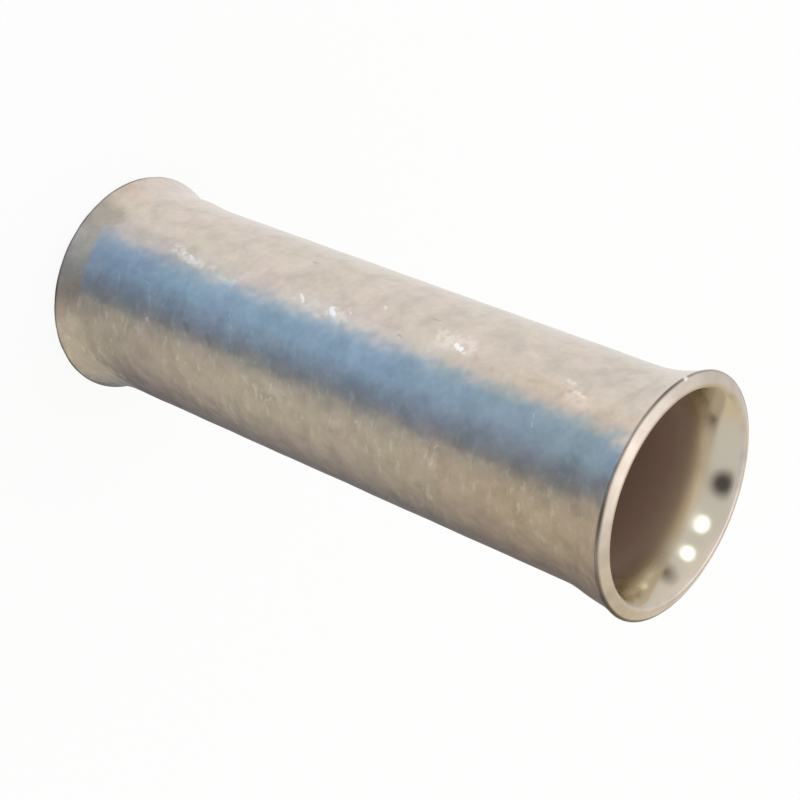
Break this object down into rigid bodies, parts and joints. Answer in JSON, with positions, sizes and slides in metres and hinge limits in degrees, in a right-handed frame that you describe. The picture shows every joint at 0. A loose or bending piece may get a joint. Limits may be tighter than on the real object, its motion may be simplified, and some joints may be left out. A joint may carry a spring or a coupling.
{
  "type": "butt splice connector",
  "caption": "Open-ended tinned copper tube with belled ends that joins the stripped ends of stranded battery cables end to end when its barrel is crimped.",
  "frame": {"origin": "centre of the lower rim, in the plane the sleeve stands on", "axes": "+Z along the bore, from the lower rim to the upper rim; the sleeve is round, so +X and +Y are free"},
  "size_m": [0.0176, 0.0176, 0.053],
  "materials": {
    "tinned_copper": "satin"
  },
  "bodies": {
    "root": {"splice_sleeve": "tinned_copper"}
  },
  "joints": []
}
